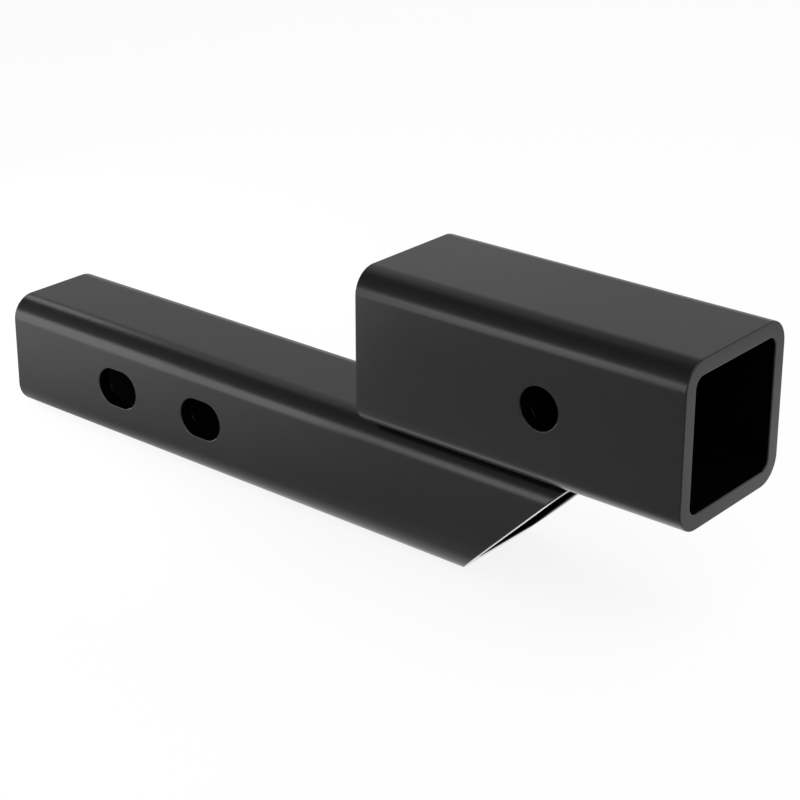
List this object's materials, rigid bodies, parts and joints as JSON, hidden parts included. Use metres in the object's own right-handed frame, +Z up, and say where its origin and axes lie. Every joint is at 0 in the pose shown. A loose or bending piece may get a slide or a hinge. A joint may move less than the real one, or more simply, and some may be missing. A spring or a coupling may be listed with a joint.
{
  "type": "hitch receiver extender",
  "caption": "Rise-type hitch extender: a square shank tube with slotted sides and an angled end, and a wider square receiver tube with a pin hole welded on top.",
  "frame": {"origin": "middle of the overall footprint, on the shank's underside", "axes": "+X along both tubes towards the receiver's mouth, +Y across to the far side, +Z up"},
  "size_m": [0.352, 0.0636, 0.1143],
  "materials": {
    "tube_paint": "satin black powder coat on steel tube, smooth with a very fine texture",
    "weld_paint": "the same satin black coat over weld ripples"
  },
  "bodies": {
    "root": {"shank_tube": "tube_paint", "receiver_tube": "tube_paint", "groove_weld_near": "weld_paint", "groove_weld_far": "weld_paint", "rear_weld": "weld_paint", "front_weld": "weld_paint"}
  },
  "joints": []
}
